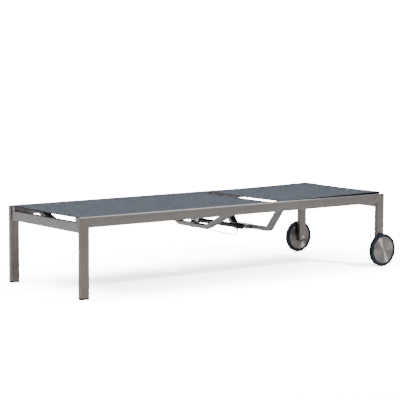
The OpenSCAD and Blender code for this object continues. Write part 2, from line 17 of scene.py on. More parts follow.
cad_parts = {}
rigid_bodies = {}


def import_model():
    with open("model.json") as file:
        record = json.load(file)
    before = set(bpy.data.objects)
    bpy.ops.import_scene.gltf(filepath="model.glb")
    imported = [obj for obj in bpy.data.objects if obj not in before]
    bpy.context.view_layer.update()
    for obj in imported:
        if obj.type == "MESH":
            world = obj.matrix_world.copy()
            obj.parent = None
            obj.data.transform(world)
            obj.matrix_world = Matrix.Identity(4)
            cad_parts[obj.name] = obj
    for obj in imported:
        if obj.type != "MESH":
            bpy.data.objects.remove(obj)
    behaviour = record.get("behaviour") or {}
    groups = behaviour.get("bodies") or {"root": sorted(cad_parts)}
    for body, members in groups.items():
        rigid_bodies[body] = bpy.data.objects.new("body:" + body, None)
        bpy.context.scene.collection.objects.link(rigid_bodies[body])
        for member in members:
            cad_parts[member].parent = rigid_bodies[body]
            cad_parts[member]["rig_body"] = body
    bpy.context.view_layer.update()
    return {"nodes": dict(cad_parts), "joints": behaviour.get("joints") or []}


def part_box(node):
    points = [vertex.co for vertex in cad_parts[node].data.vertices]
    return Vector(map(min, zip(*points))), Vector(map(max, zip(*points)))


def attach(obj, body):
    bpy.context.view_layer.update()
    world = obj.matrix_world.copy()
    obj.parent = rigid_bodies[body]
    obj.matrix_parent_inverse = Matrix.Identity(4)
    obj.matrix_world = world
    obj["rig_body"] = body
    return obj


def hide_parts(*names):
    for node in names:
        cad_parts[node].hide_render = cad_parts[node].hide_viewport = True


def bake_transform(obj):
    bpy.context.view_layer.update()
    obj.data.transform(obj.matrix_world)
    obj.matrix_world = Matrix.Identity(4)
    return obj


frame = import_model()
joints = {j["name"]: j for j in frame["joints"]}

# %% [markdown]
# ## The camera
#
# A long lens, far from the lounger, keeps its long rails nearly parallel. A short lens close by would make
# the near wheel look much larger than the far one. The camera stands to the left of the foot end, a little
# above the seat, and looks slightly down.

# %% Place the camera
CAMERA_TURN = math.radians(-37.206)
CAMERA_TILT = math.radians(90 - 6.260)
CAMERA_ROLL = math.radians(0.313)

camera_data = bpy.data.cameras.new("camera")
camera_data.lens = 146.3
camera_data.sensor_width = 36.0
camera_data.clip_end = 100.0
camera = bpy.data.objects.new("camera", camera_data)
bpy.context.scene.collection.objects.link(camera)
camera.location = (-5.259, -6.853, 1.341)
look = Matrix.Rotation(CAMERA_TURN, 4, "Z") @ Matrix.Rotation(CAMERA_TILT, 4, "X")
camera.rotation_euler = (look @ Matrix.Rotation(CAMERA_ROLL, 4, "Z")).to_euler()
bpy.context.scene.camera = camera
print("camera", round((Vector(camera.location) - Vector((0, 0, 0.2))).length, 2), "m from the lounger")

# %% [markdown]
# ## Helpers for new pieces
#
# Three small helpers build nearly every piece. `new_piece` turns a bmesh into an object with smooth faces and
# sharp corners. `lathe` spins a profile round an axis, as a wheel or a bolt is turned. `sweep` runs a round
# section along a line of points, as a cable is laid.

# %% Make an object from a bmesh
def new_piece(name, bm, material, smooth_angle=35):
    mesh = bpy.data.meshes.new(name)
    bmesh.ops.recalc_face_normals(bm, faces=bm.faces)
    bm.to_mesh(mesh)
    bm.free()
    mesh.shade_smooth()
    mesh.set_sharp_from_angle(angle=math.radians(smooth_angle))
    piece = bpy.data.objects.new(name, mesh)
    bpy.context.scene.collection.objects.link(piece)
    piece.data.materials.append(material)
    return piece


# %% [markdown]
# A turned part is a profile spun round a line. `lathe` puts a ring of points at each point of the profile and
# joins neighbouring rings. The Screw modifier could do it too, but here a point on the axis becomes one
# vertex at once and needs no merging. `arc` gives the profile its round stretches.

# %% Spin a profile round an axis
def axis_matrix(origin, axis):
    """Local +Z along the axis, with the origin at the given point."""
    turn = Vector((0, 0, 1)).rotation_difference(Vector(axis).normalized()).to_matrix().to_4x4()
    return Matrix.Translation(origin) @ turn


def lathe(name, profile, origin, axis, material, steps=96, smooth_angle=35):
    """profile is a closed list of (radius, height) pairs; a point at radius 0 lies on the axis."""
    bm = bmesh.new()
    angles = [2 * math.pi * i / steps for i in range(steps)]
    rings = []
    for radius, height in profile:
        if radius < 1e-7:
            rings.append([bm.verts.new((0, 0, height))])
            continue
        rings.append([bm.verts.new((radius * math.cos(a), radius * math.sin(a), height)) for a in angles])
    for ring, following in zip(rings, rings[1:] + rings[:1]):
        if len(ring) == 1 and len(following) == 1:
            continue
        for i in range(steps):
            j = (i + 1) % steps
            corners = [ring[i % len(ring)], ring[j % len(ring)]]
            corners += [following[j % len(following)], following[i % len(following)]]
            bm.faces.new(list(dict.fromkeys(corners)))
    piece = new_piece(name, bm, material, smooth_angle)
    piece.matrix_world = axis_matrix(origin, axis)
    return piece


def arc(centre, radius, start, end, steps):
    """Points on a circle in the profile's plane, from one angle to another, in degrees."""
    angles = [math.radians(start + (end - start) * i / steps) for i in range(steps + 1)]
    return [(centre[0] + radius * math.cos(a), centre[1] + radius * math.sin(a)) for a in angles]


# %% [markdown]
# A cable is a round section carried along a line. A curve object with a bevel does this too, but a mesh can
# be bent between two bodies point by point, which a moving cable needs. `smooth_line` rounds the route with
# a spline that passes through every point. `sweep` turns each ring only as far as the line turns, so the
# tube doesn't twist.

# %% Sweep a round section along a line
def smooth_line(points, per_step):
    """Points on a curve that passes through every given point."""
    line = []
    for k in range(len(points) - 1):
        before, here = Vector(points[max(k - 1, 0)]), Vector(points[k])
        there, after = Vector(points[k + 1]), Vector(points[min(k + 2, len(points) - 1)])
        for i in range(per_step):
            t = i / per_step
            line.append(0.5 * (
                2 * here + (there - before) * t + (2 * before - 5 * here + 4 * there - after) * t ** 2
                + (3 * here - before - 3 * there + after) * t ** 3
            ))
    return line + [Vector(points[-1])]


def sweep(name, line, radius, material, sides=12):
    bm = bmesh.new()
    angles = [2 * math.pi * i / sides for i in range(sides)]
    rings = []
    tangent = (line[1] - line[0]).normalized()
    side = tangent.orthogonal().normalized()
    for k, point in enumerate(line):
        tangent = (line[min(k + 1, len(line) - 1)] - line[max(k - 1, 0)]).normalized()
        side = (side - tangent * side.dot(tangent)).normalized()
        rise = tangent.cross(side)
        outward = [side * math.cos(a) + rise * math.sin(a) for a in angles]
        rings.append([bm.verts.new(point + radius * o) for o in outward])
    for ring, following in zip(rings, rings[1:]):
        for i in range(sides):
            j = (i + 1) % sides
            bm.faces.new([ring[i], ring[j], following[j], following[i]])
    bm.faces.new(rings[0][::-1])
    bm.faces.new(rings[-1])
    return new_piece(name, bm, material)


# %% [markdown]
# ## Nodes for the finishes
#
# Each finish is a Principled shader whose colour, roughness and bump come from procedural textures. What is
# the same all over a piece, such as how metallic it is, is set on the shader itself.

# %% Start a material
def finish_base(name, colour, roughness, metallic=0.0, **constants):
    """constants are the shader's other sockets, with _ for each space in their names."""
    material = bpy.data.materials.new(name)
    material.use_nodes = True
    nodes, links = material.node_tree.nodes, material.node_tree.links
    shader = nodes["Principled BSDF"]
    shader.inputs["Base Color"].default_value = (*colour, 1)
    shader.inputs["Roughness"].default_value = roughness
    shader.inputs["Metallic"].default_value = metallic
    for socket, value in constants.items():
        shader.inputs[socket.replace("_", " ")].default_value = value
    material.diffuse_color = (*colour, 1)
    return material, nodes, links, shader


# %% [markdown]
# The texture coordinates are the object's own, so a pattern stays on its piece when the backrest turns. Their
# scale draws a texture out along one direction, which is how noise becomes brush marks.

# %% Add textures to a material
def stretched_coordinates(nodes, links, scale):
    coordinates = nodes.new("ShaderNodeTexCoord")
    mapping = nodes.new("ShaderNodeMapping")
    mapping.inputs["Scale"].default_value = scale
    links.new(coordinates.outputs["Object"], mapping.inputs["Vector"])
    return mapping.outputs["Vector"]


def noise_texture(nodes, links, vector, scale, detail, roughness=0.5):
    texture = nodes.new("ShaderNodeTexNoise")
    texture.inputs["Scale"].default_value = scale
    texture.inputs["Detail"].default_value = detail
    texture.inputs["Roughness"].default_value = roughness
    links.new(vector, texture.inputs["Vector"])
    return texture.outputs["Fac"]


def add_bump(nodes, links, shader, height, strength, distance):
    bump = nodes.new("ShaderNodeBump")
    bump.inputs["Strength"].default_value = strength
    bump.inputs["Distance"].default_value = distance
    links.new(height, bump.inputs["Height"])
    links.new(bump.outputs["Normal"], shader.inputs["Normal"])


# %% [markdown]
# A noise texture seldom leaves the middle of its range, so `spread` stretches that middle to the range a
# socket needs. `two_tone` blends two colours by it, and `laid_over` lays a colour over another node's.

# %% Turn a texture into tones
def spread(nodes, links, value, low, high, start=0.3, end=0.7):
    node = nodes.new("ShaderNodeMapRange")
    for socket, number in (("From Min", start), ("From Max", end), ("To Min", low), ("To Max", high)):
        node.inputs[socket].default_value = number
    links.new(value, node.inputs["Value"])
    return node.outputs["Result"]


def two_tone(nodes, links, factor, first, second):
    node = nodes.new("ShaderNodeMix")
    node.data_type = "RGBA"
    node.inputs["A"].default_value = (*first, 1)
    node.inputs["B"].default_value = (*second, 1)
    links.new(factor, node.inputs["Factor"])
    return node.outputs["Result"]


def laid_over(nodes, links, factor, under, colour):
    node = nodes.new("ShaderNodeMix")
    node.data_type = "RGBA"
    links.new(factor, node.inputs["Factor"])
    links.new(under, node.inputs["A"])
    node.inputs["B"].default_value = (*colour, 1)
    return node.outputs["Result"]


def maths(nodes, links, operation, first, second=None):
    """first and second are numbers or other nodes' outputs."""
    node = nodes.new("ShaderNodeMath")
    node.operation = operation
    for socket, value in zip(node.inputs, (first, second)):
        if isinstance(value, (int, float)):
            socket.default_value = value
        elif value is not None:
            links.new(value, socket)
    return node.outputs[0]


# %% [markdown]
# ## Brushed steel
#
# The tubes are stainless steel, brushed along their length with a coarse belt. Under a lamp each scratch
# catches light across the tube, so the surface looks streaked along it. The streaks are noise stretched a
# hundredfold along the tube. They change the tone, the roughness and a very small bump, and a slow, soft
# noise makes the metal a little lighter or darker from place to place. Each direction of tube needs its own
# stretch, so there is one finish for each of X, Y and Z. Their colours are painted light: one steel, painted
# lighter for the Y tubes and a little darker and warmer for the Z tubes, as lit and shaded copies of it.

# %% Make the steel finishes
BRUSHED_SCALE, CROSSWISE_SCALE = 14.0, 1500.0


def brushed_steel(name, colour, roughness, along):
    material, nodes, links, shader = finish_base(name, colour, roughness, metallic=1.0)
    scale = [BRUSHED_SCALE if direction == along else CROSSWISE_SCALE for direction in "XYZ"]
    streaks = noise_texture(nodes, links, stretched_coordinates(nodes, links, scale), 1.0, 4.0, 0.6)
    broad = noise_texture(nodes, links, stretched_coordinates(nodes, links, (3, 9, 9)), 1.0, 2.0)
    darker = tuple(0.86 * c for c in colour)
    lighter = tuple(min(1.0, 1.10 * c) for c in colour)
    fine, slow = spread(nodes, links, streaks, 0.0, 0.55), spread(nodes, links, broad, 0.0, 0.45)
    tone = maths(nodes, links, "ADD", fine, slow)
    links.new(two_tone(nodes, links, tone, darker, lighter), shader.inputs["Base Color"])
    links.new(spread(nodes, links, streaks, roughness - 0.07, roughness + 0.09), shader.inputs["Roughness"])
    add_bump(nodes, links, shader, streaks, 0.25, 0.00008)
    return material


# One steel in three colours, one for each tube direction. This is painted light: the Y tubes are painted
# lighter, and the Z tubes darker and warmer.
STEEL_PAINTED_LIGHT = {"X": (0.132, 0.124, 0.118), "Y": (0.165, 0.162, 0.161), "Z": (0.132, 0.118, 0.109)}
steel = {axis: brushed_steel("brushed_steel_painted_light_" + axis, colour, 0.34, axis) for axis, colour in STEEL_PAINTED_LIGHT.items()}
bolt_steel = brushed_steel("turned_steel", (0.40, 0.395, 0.385), 0.26, "Y")
chrome = brushed_steel("polished_rod", (0.72, 0.72, 0.72), 0.14, "Y")
print("steel finishes:", [m.name for m in (*steel.values(), bolt_steel, chrome)])

# %% [markdown]
# ## Spun wheel discs
#
# A spun disc is polished while it turns, so its scratches are rings round the centre, and a lamp's light
# gathers in a bright fan across it. A wave texture gives the rings; it is centred on the object's origin, so
# the disc's origin has to be the wheel's centre. Full anisotropy with a radial tangent, turned by a quarter
# so that the highlight runs out from the centre, gives the fan. The roughness is high because the lamp stands
# well to one side, and a smoother disc would not catch it.

# %% Make the disc finish
def spun_steel(name, colour, roughness):
    material, nodes, links, shader = finish_base(
        name, colour, roughness, metallic=1.0, Anisotropic=1.0, Anisotropic_Rotation=0.25
    )
    tangent = nodes.new("ShaderNodeTangent")
    tangent.direction_type = "RADIAL"
    tangent.axis = "Z"
    links.new(tangent.outputs["Tangent"], shader.inputs["Tangent"])
    coordinates = nodes.new("ShaderNodeTexCoord")
    rings = nodes.new("ShaderNodeTexWave")
    rings.wave_type = "RINGS"
    rings.rings_direction = "Z"
    for socket, value in (("Scale", 260.0), ("Distortion", 0.6), ("Detail", 3.0)):
        rings.inputs[socket].default_value = value
    links.new(coordinates.outputs["Object"], rings.inputs["Vector"])
    groove = rings.outputs["Fac"]
    darker = tuple(0.90 * c for c in colour)
    links.new(two_tone(nodes, links, groove, darker, colour), shader.inputs["Base Color"])
    shine = spread(nodes, links, groove, roughness - 0.04, roughness + 0.05, 0, 1)
    links.new(shine, shader.inputs["Roughness"])
    add_bump(nodes, links, shader, groove, 0.2, 0.00005)
    return material


disc_steel = spun_steel("spun_steel", (0.262, 0.251, 0.238), 0.56)
print("disc finish:", disc_steel.name)

# %% [markdown]
# ## Moulded plastic, rubber and paint
#
# Moulded nylon has a fine grain from its mould, rubber is duller and a little dusty, and the strut's black
# paint is smooth with a faint ripple. One helper covers all three: a dark base, a fine grain in the bump, and
# a slow noise that changes the roughness so that highlights break up.

# %% Make the black finishes
def moulded(name, colour, roughness, grain_size, grain_depth, worn=0.25, gloss=0.25):
    material, nodes, links, shader = finish_base(name, colour, roughness, Specular_IOR_Level=gloss)
    vector = stretched_coordinates(nodes, links, (1, 1, 1))
    grain = noise_texture(nodes, links, vector, 1 / grain_size, 2.0)
    cloud = noise_texture(nodes, links, vector, 38.0, 3.0)
    paler = tuple(c * (1 + worn) + 0.012 * worn for c in colour)
    tone = two_tone(nodes, links, spread(nodes, links, cloud, 0, 1), colour, paler)
    links.new(tone, shader.inputs["Base Color"])
    links.new(spread(nodes, links, cloud, roughness - 0.06, roughness + 0.08), shader.inputs["Roughness"])
    add_bump(nodes, links, shader, grain, 0.35, grain_depth)
    return material


nylon = moulded("black_nylon", (0.006, 0.008, 0.012), 0.50, 0.0007, 0.00012)
tyre_rubber = moulded("tyre_rubber", (0.003, 0.006, 0.011), 0.62, 0.0011, 0.00018, worn=0.4, gloss=0.16)
buffer_rubber = moulded("buffer_rubber", (0.014, 0.014, 0.016), 0.72, 0.0009, 0.00015)
black_paint = moulded("black_paint", (0.004, 0.006, 0.010), 0.32, 0.0030, 0.00003, gloss=0.35)
sheath_plastic = moulded("sheath_plastic", (0.020, 0.024, 0.034), 0.42, 0.0010, 0.00005)
print("black finishes:", [m.name for m in (nylon, tyre_rubber, buffer_rubber, black_paint, sheath_plastic)])

# %% [markdown]
# ## Mesh cloth
#
# The sling is a mesh of coated polyester yarn in a plain weave, about one and a quarter millimetres from yarn
# to yarn. Two sine waves give the weave: where they cross, one yarn lies over the other, and in between is a
# hole, painted dark as painted shade for the shaded space seen through it. The yarns that run across are a
# little lighter than those that run along, as on real two-tone mesh, which makes the cloth look grey-blue
# from a distance. The doubled hem is the same cloth, painted nearly black: painted shade for the shadow on
# the folded edge.

# %% Make the mesh cloth
YARN_PITCH = 0.00125
HOLE_SIZE = 0.42


def mesh_cloth(name, along_colour, across_colour, hole_painted_shade):
    material, nodes, links, shader = finish_base(name, along_colour, 0.85, Specular_IOR_Level=0.12)
    coordinates = nodes.new("ShaderNodeTexCoord")
    axes = nodes.new("ShaderNodeSeparateXYZ")
    links.new(coordinates.outputs["Object"], axes.inputs[0])
    phase = [maths(nodes, links, "MULTIPLY", axes.outputs[a], math.pi / YARN_PITCH) for a in (0, 1)]
    wave = [maths(nodes, links, "SINE", p) for p in phase]
    over = maths(nodes, links, "MULTIPLY", wave[0], wave[1])
    crown = [maths(nodes, links, "ABSOLUTE", w) for w in wave]
    solid = maths(nodes, links, "MINIMUM", crown[0], crown[1])
    hole = maths(nodes, links, "LESS_THAN", maths(nodes, links, "MAXIMUM", crown[0], crown[1]), HOLE_SIZE)
    yarn = two_tone(nodes, links, spread(nodes, links, over, 0, 1, -0.35, 0.35), along_colour, across_colour)
    broad = noise_texture(nodes, links, stretched_coordinates(nodes, links, (1, 1, 1)), 9.0, 3.0)
    cloudy = maths(nodes, links, "MULTIPLY", spread(nodes, links, broad, 0, 1), 0.16)
    shaded = laid_over(nodes, links, cloudy, yarn, [1.5 * c for c in across_colour])
    # The holes are painted nearly black: painted shade for the shaded space under the sling.
    links.new(laid_over(nodes, links, hole, shaded, hole_painted_shade), shader.inputs["Base Color"])
    height = maths(nodes, links, "ADD", maths(nodes, links, "MULTIPLY", over, 0.4), solid)
    add_bump(nodes, links, shader, height, 0.5, 0.0004)
    return material


# The last colour of each cloth, for its holes, is painted shade. The hem cloth's near-black colours are
# painted shade for the shadow on the folded edge.
seat_cloth = mesh_cloth("mesh_cloth", (0.027, 0.033, 0.043), (0.049, 0.057, 0.073), (0.004, 0.005, 0.007))
hem_cloth_painted_shade = mesh_cloth("hem_cloth_painted_shade", (0.004, 0.005, 0.007), (0.007, 0.008, 0.011), (0.002, 0.002, 0.003))
print("yarn pitch", YARN_PITCH * 1000, "mm")

# %% [markdown]
# ## Rounded tubes
#
# A steel tube is rolled from strip, so its long edges are round, with a radius of about its wall. The CAD
# tubes have sharp ones. Each tube's mesh is copied, its doubled corners are joined, and only the edges that
# run along the tube are bevelled: a bevel on all edges would also round the mitres, which are ground flush.
# A Weighted Normal modifier keeps the wide faces flat beside the narrow bevels.

# %% Copy a CAD piece with rounded edges
SHARPEST_KEPT = math.radians(30)
PARALLEL = 0.9995


def is_rounded(edge, along, below):
    if len(edge.link_faces) != 2 or not edge.is_convex or edge.calc_face_angle(0) < SHARPEST_KEPT:
        return False
    direction = (edge.verts[1].co - edge.verts[0].co).normalized()
    if along and not any(abs(direction.dot(Vector(d).normalized())) > PARALLEL for d in along):
        return False
    return below is None or max(v.co.z for v in edge.verts) <= below


def rounded(node, radius, material, along=None, segments=3, below=None):
    """along lists the directions whose edges are rounded; without it every convex sharp edge is."""
    source = frame["nodes"][node]
    bm = bmesh.new()
    bm.from_mesh(source.data)
    bmesh.ops.remove_doubles(bm, verts=bm.verts, dist=1e-5)
    bmesh.ops.dissolve_limit(bm, angle_limit=math.radians(0.4), verts=bm.verts, edges=bm.edges)
    chosen = [edge for edge in bm.edges if is_rounded(edge, along, below)]
    bmesh.ops.bevel(
        bm, geom=chosen, offset=radius, segments=segments, profile=0.5, affect="EDGES", clamp_overlap=True
    )
    piece = new_piece(node + "_finished", bm, material)
    even_shading = piece.modifiers.new("even_shading", "WEIGHTED_NORMAL")
    even_shading.keep_sharp = True
    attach(piece, source["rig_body"])
    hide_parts(node)
    return piece


# %% [markdown]
# The frame's tubes are 50 by 25 mm, with corners of about 3 mm. The seat rails are extruded and much crisper.

# %% Round the frame's tubes
X, Y, Z = (1, 0, 0), (0, 1, 0), (0, 0, 1)
TUBE_EDGE, RAIL_EDGE, BAR_EDGE = 0.0030, 0.0008, 0.0020
for side in ("left", "right"):
    rounded(side + "_side_rail", TUBE_EDGE, steel["X"], along=[X])
    rounded(side + "_foot_leg", TUBE_EDGE, steel["Z"], along=[Z])
    rounded(side + "_head_leg", TUBE_EDGE, steel["Z"], along=[Z])
    rounded(side + "_seat_rail", RAIL_EDGE, steel["X"], along=[X])
rounded("foot_cross_rail", TUBE_EDGE, steel["Y"], along=[Y])
rounded("head_cross_rail", TUBE_EDGE, steel["Y"], along=[Y])
print("frame tubes have edges of", TUBE_EDGE * 1000, "mm")

# %% [markdown]
# The backrest's rails are the seat's section again. At rest they rise very slightly towards the head, so the
# direction of their long edges is tilted by the same angle.

# %% Round the backrest's rails and head bar
tilt = math.radians(0.9)
TILTED_X = (math.cos(tilt), 0, math.sin(tilt))
for side in ("left", "right"):
    rounded(side + "_back_rail", RAIL_EDGE, steel["X"], along=[TILTED_X])
rounded("head_bar", BAR_EDGE, steel["Y"], along=[Y])
print("backrest tilted by", round(math.degrees(tilt), 1), "degrees at rest")

# %% [markdown]
# The bent members are three tubes mitred and welded in line. Their long edges run along Y on the level part
# and along each arm, whose slope is read from the piece itself: the directions of its longest sloping edges.

# %% Round the bent members
SHORTEST_ARM_EDGE = 0.05
OUT_OF_PLANE = 0.004
JOINT_ROOM = 0.006


def arm_directions(node):
    source = frame["nodes"][node].data
    found = {}
    for edge in source.edges:
        a, b = (source.vertices[v].co for v in edge.vertices)
        d = b - a
        if d.length < SHORTEST_ARM_EDGE or abs(d.x) > OUT_OF_PLANE or abs(d.z) < 0.1 * d.length:
            continue
        d = d.normalized() * (1 if d.z > 0 else -1)
        key = (round(d.y, 2), round(d.z, 2))
        found.setdefault(key, [0.0, d])
        found[key][0] += (b - a).length
    longest = sorted(found.values(), key=lambda f: -f[0])
    return [tuple(d) for _, d in longest[:6]]


for node in ("front_spreader", "middle_spreader", "strut_member", "back_member"):
    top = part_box(node)[1].z - (0 if node == "strut_member" else JOINT_ROOM)
    arms = arm_directions(node)
    rounded(node, BAR_EDGE, steel["Y"], along=[Y] + arms, below=top)
    print(node, "arms", [tuple(round(c, 3) for c in d) for d in arms[:2]])

# %% [markdown]
# Brackets, plugs, pins and bolts are small and cut or turned, so every sharp edge of theirs is broken a
# little. The edge's radius goes with the piece's size, from 0.4 mm on a washer to 1.2 mm on a foot glide.

# %% Round the brackets, plugs and small fittings
SMALL_FITTINGS = {
    "strut_bracket": (0.0008, steel["Y"]), "rod_bracket": (0.0008, steel["Y"]),
    "lever_bracket": (0.0006, steel["Y"]), "seat_rail_plugs": (0.0007, steel["Y"]),
    "back_rail_plugs": (0.0007, steel["Y"]), "foot_glides": (0.0012, nylon),
    "head_leg_caps": (0.0010, nylon), "hinge_blocks": (0.0010, nylon),
    "cable_clips": (0.0005, nylon), "strut_eye": (0.0008, bolt_steel),
    "rod_eye": (0.0008, bolt_steel), "release_lever": (0.0008, steel["X"]),
    "bracket_bolts": (0.0008, bolt_steel), "strut_pin": (0.0006, bolt_steel),
    "rod_pin": (0.0006, bolt_steel), "lever_pin": (0.0005, bolt_steel),
    "hinge_pins": (0.0006, bolt_steel), "axle_washers": (0.0004, bolt_steel),
    "axle_nuts": (0.0006, bolt_steel),
}
for node, (radius, material) in SMALL_FITTINGS.items():
    rounded(node, radius, material, segments=2)
print("small fittings:", len(SMALL_FITTINGS))

# %% [markdown]
# Pieces that CAD already shows as they are, most of them round or hidden, keep their CAD mesh and get only a
# finish.

# %% Give the plain CAD pieces their finish
PLAIN = {
    "seat_rail_spacers": steel["Y"], "strut_rod": chrome,
    "seat_keder_rods": nylon, "back_keder_rods": nylon, "hinge_bushes": nylon,
    "wheel_bushes_left": nylon, "wheel_bushes_right": nylon,
    "left_wheel_core": nylon, "right_wheel_core": nylon,
}
for node, material in PLAIN.items():
    frame["nodes"][node].data.materials.clear()
    frame["nodes"][node].data.materials.append(material)
print("plain pieces:", len(PLAIN))

# %% [markdown]
# ## The slings
#
# Each sling is one sheet, held along both sides by a rod in the rail's slot. From the slot it climbs the
# rail's outer face, turns over its rounded edge and spans to the other rail. Tension holds it almost flat: it
# hangs a little low in the middle and slightly more at its free ends, where nothing pulls it along the
# lounger. A cloth simulation of so tight a sheet gives the same shape slowly, so the shape is a formula.

# %% Draw a sling's section
SLING_THICKNESS = 0.0011
SLOT_DEPTH = 0.0085
TURN_RADIUS = 0.0022
HELD_WIDTH = 0.030
RAIL_CLEARANCE = 0.0001


def sling_section(half_width, sag, steps_across=56):
    """Half of the sling's section: (distance from the middle, height over the rail's top), middle first."""
    flat = half_width - TURN_RADIUS
    span = half_width - HELD_WIDTH
    points = []
    for i in range(steps_across + 1):
        y = flat * i / steps_across
        hang = -sag * (1 - (y / span) ** 2) if y < span else 0.0
        points.append((y, hang))
    for i in range(1, 6):
        a = math.radians(90 - 18 * i)
        points.append((flat + TURN_RADIUS * math.cos(a), TURN_RADIUS * math.sin(a) - TURN_RADIUS))
    return points + [(half_width, -0.006), (half_width, -SLOT_DEPTH)]


# %% [markdown]
# The sheet is a grid: 73 sections, each mirrored to full width, joined by quads. The sag grows quickly within
# the last few centimetres of each end.

# %% Lay the sheet out
SAG, END_SAG, END_FALL = 0.0016, 0.0010, 18
STEPS_ALONG = 72


def sling_sheet(start, end, half_width, rail_top, turn):
    """turn is the matrix that tilts the level sheet to its place."""
    bm = bmesh.new()
    rows = []
    for i in range(STEPS_ALONG + 1):
        share = i / STEPS_ALONG
        end_slack = math.exp(-min(share, 1 - share) * END_FALL)
        section = sling_section(half_width, SAG + END_SAG * end_slack)
        both = [(-y, z) for y, z in section[:0:-1]] + section
        level = rail_top + SLING_THICKNESS / 2 + RAIL_CLEARANCE
        x = start + (end - start) * share
        rows.append([bm.verts.new(turn @ Vector((x, y, level + z))) for y, z in both])
    for row, following in zip(rows, rows[1:]):
        for k in range(len(row) - 1):
            bm.faces.new([row[k], row[k + 1], following[k + 1], following[k]])
    return bm, len(rows[0]) - 1


# %% [markdown]
# The cloth is folded double along its sides and ends. Those faces get the darker hem cloth, whose darkness is
# painted shade for the shadow on the fold.

# %% Mark the hems, which carry painted shade
HEM_COLUMNS = 7
HEM_ROWS = 1


def mark_hems(piece, across):
    # Hem faces get the near-black cloth: painted shade on the fold.
    piece.data.materials.append(hem_cloth_painted_shade)
    for k, face in enumerate(piece.data.polygons):
        column, row = k % across, k // across
        at_side = min(column, across - 1 - column) < HEM_COLUMNS
        at_end = min(row, STEPS_ALONG - 1 - row) < HEM_ROWS
        face.material_index = int(at_side or at_end)


# %% [markdown]
# The flat size is what the sheet measures when it is unrolled: the span, both turns over the rails' edges and
# both stretches down to the slots.

# %% Build both slings
def build_sling(name, node, body, rail_top, turn):
    low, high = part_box(node)
    half_width = high.y - SLING_THICKNESS / 2
    bm, across = sling_sheet(low.x, high.x, half_width, rail_top, turn)
    piece = new_piece(name, bm, seat_cloth, 60)
    mark_hems(piece, across)
    thickness = piece.modifiers.new("cloth_thickness", "SOLIDIFY")
    thickness.thickness = SLING_THICKNESS
    thickness.offset = 0.0
    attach(piece, body)
    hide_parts(node)


BACK_RAIL_OVER_HINGE = 0.012
hinge_at = Vector(joints["backrest_hinge"]["pos_m"])
resting_turn = Matrix.Translation(hinge_at) @ Matrix.Rotation(-tilt, 4, "Y") @ Matrix.Translation(-hinge_at)
seat_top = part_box("left_seat_rail")[1].z
back_top = hinge_at.z + BACK_RAIL_OVER_HINGE
build_sling("seat_mesh", "seat_sling", "frame", seat_top, Matrix.Identity(4))
build_sling("back_mesh", "back_sling", "backrest", back_top, resting_turn)

# %% [markdown]
# ## Wheels
#
# A wheel is a rubber tyre on a plastic core, faced on both sides with a dished disc of spun steel. All of
# them are turned shapes, so one profile each is enough. The tyre has rounded shoulders, a flat tread with two
# shallow grooves, and a rounded bead where it grips the core.

# %% Turn a tyre
BEAD_DEPTH = 0.0160
TREAD_GROOVE = 0.0011
SHOULDER = 0.006


def wheel_origin(side):
    """The wheel's centre, midway across its tyre."""
    low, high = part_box(side + "_tyre")
    centre = Vector(joints[side + "_wheel_spin"]["pos_m"])
    return Vector((centre.x, (low.y + high.y) / 2, centre.z))


def turn_tyre(side, outward):
    tyre_low, tyre_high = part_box(side + "_tyre")
    radius = (tyre_high.z - tyre_low.z) / 2
    half = (tyre_high.y - tyre_low.y) / 2
    bead = radius - BEAD_DEPTH
    outer_half = [(bead, half - 0.0035)] + arc((bead + 0.002, half - 0.002), 0.002, 180, 90, 4)
    outer_half += arc((radius - SHOULDER, half - SHOULDER), SHOULDER, 80, 10, 8)
    outer_half += [(radius, 0.0062), (radius - TREAD_GROOVE, 0.0056)]
    outer_half += [(radius - TREAD_GROOVE, 0.0044), (radius, 0.0038)]
    profile = outer_half + [(r, -h) for r, h in reversed(outer_half)]
    tyre = lathe(side + "_tyre_rubber", profile, wheel_origin(side), outward, tyre_rubber, 128, 40)
    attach(tyre, side + "_wheel")
    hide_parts(side + "_tyre")
    print(side, "wheel: radius", round(radius, 4), "width", round(2 * half, 4))


# %% [markdown]
# The disc is pressed from sheet: a flat crown in the middle, a shallow cone, and a rolled rim that tucks into
# the tyre. `away` is 1 for a disc on the wheel's outer side and -1 for one on its inner side.

# %% Turn a disc
DISC_SHEET = 0.0012
CROWN_RADIUS = 0.020


def turn_disc(side, outward, face, hole, away):
    node = side + "_" + face + "_disc"
    origin = wheel_origin(side)
    disc_low, disc_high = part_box(node)
    rim = (disc_high.z - disc_low.z) / 2
    levels = sorted(abs(v - origin.y) for v in (disc_low.y, disc_high.y))
    crown = levels[1] - 0.0002
    edge = levels[0] + 0.0012
    front = [(hole, crown), (CROWN_RADIUS, crown), (rim - 0.010, edge + 0.0002), (rim - 0.006, edge)]
    front += [(rim - 0.0035, edge), (rim - 0.0012, edge + 0.0010), (rim, edge + 0.0008)]
    back = [(r, h - DISC_SHEET) for r, h in reversed(front)]
    profile = [(r, away * h) for r, h in front + back]
    disc = lathe(node + "_spun", profile, origin, outward, disc_steel, 128, 50)
    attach(disc, side + "_wheel")
    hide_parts(node)
    print(node, "radius", round(rim, 4))


# %% [markdown]
# Both wheels are the same, mirrored: each faces away from the lounger. The inner disc has a hole for the
# axle, and the outer one is closed.

# %% Build both wheels
AXLE_HOLE = 0.0165
for side, outward in (("left", (0, -1, 0)), ("right", (0, 1, 0))):
    turn_tyre(side, outward)
    turn_disc(side, outward, "outer", 0.0, 1)
    turn_disc(side, outward, "inner", AXLE_HOLE, -1)

# %% [markdown]
# ## Axle bolts
#
# Each axle is a button-head bolt whose dome shows on the inside of the leg. The socket for the key is
# simplified to a round hole. Both bolts are one CAD piece, so the two turned meshes are joined.

# %% Turn the axle bolts
SHANK_RADIUS = 0.006
DOME_HEIGHT = 0.0058
DOME_ANGLES = (24, 36, 50, 64, 78, 90)


